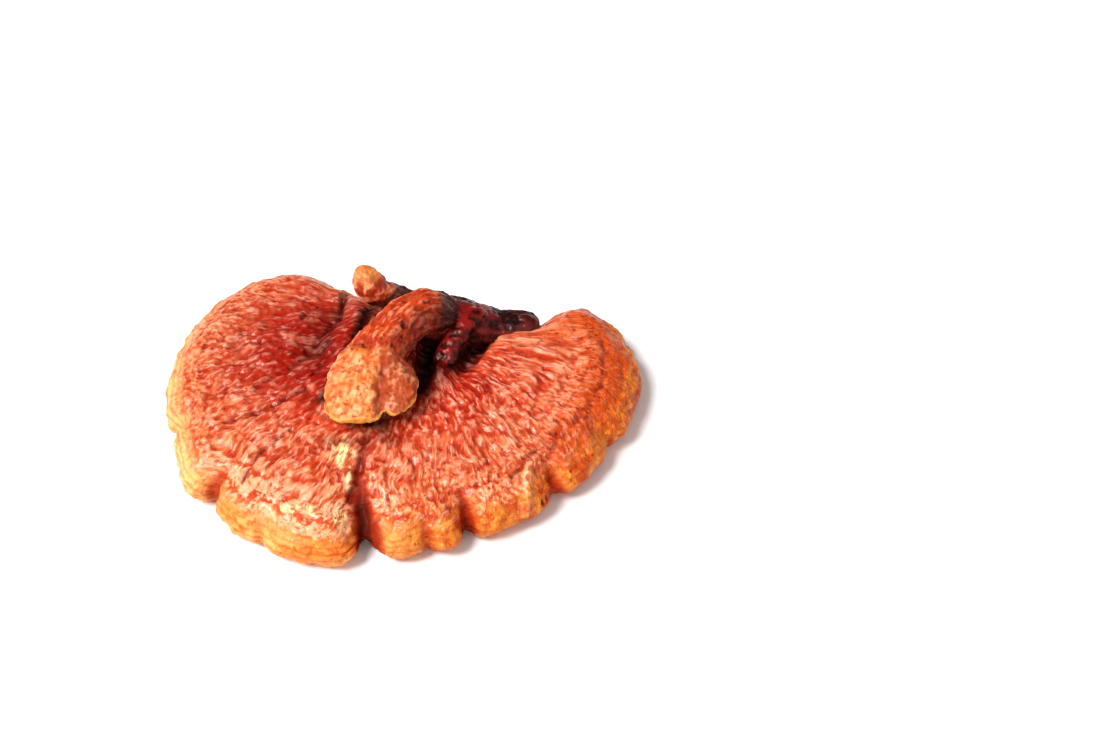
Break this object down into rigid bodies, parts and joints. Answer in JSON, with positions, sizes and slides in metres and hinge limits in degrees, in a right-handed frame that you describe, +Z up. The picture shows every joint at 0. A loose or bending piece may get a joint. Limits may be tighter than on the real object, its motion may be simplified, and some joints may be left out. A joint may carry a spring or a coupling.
{
  "type": "reishi mushroom",
  "caption": "Dried reishi mushroom: a kidney-shaped lacquered bracket cap with a lobed margin, and a short side stem that carries a knobbed shoot and a bud.",
  "frame": {"origin": "centre of the bounding box in plan, at the level of the flat band under the cap that the mushroom rests on", "axes": "+Z up out of the cap's upper face, +X across the cap towards the stem's cut end, +Y from the cap's front margin towards the stem"},
  "size_m": [0.1418, 0.116, 0.039],
  "materials": {
    "cap": "wrinkled natural lacquer, deep red in the middle to orange and cream at the margin, pale pores below",
    "stem": "glossy natural lacquer, maroon to black",
    "side_shoot": "satin wrinkled skin, orange-brown, paler on the knob",
    "bud": "satin wrinkled skin, orange-brown"
  },
  "bodies": {
    "root": {"cap": "cap", "stem": "stem", "side_shoot": "side_shoot", "bud": "bud"}
  },
  "joints": []
}
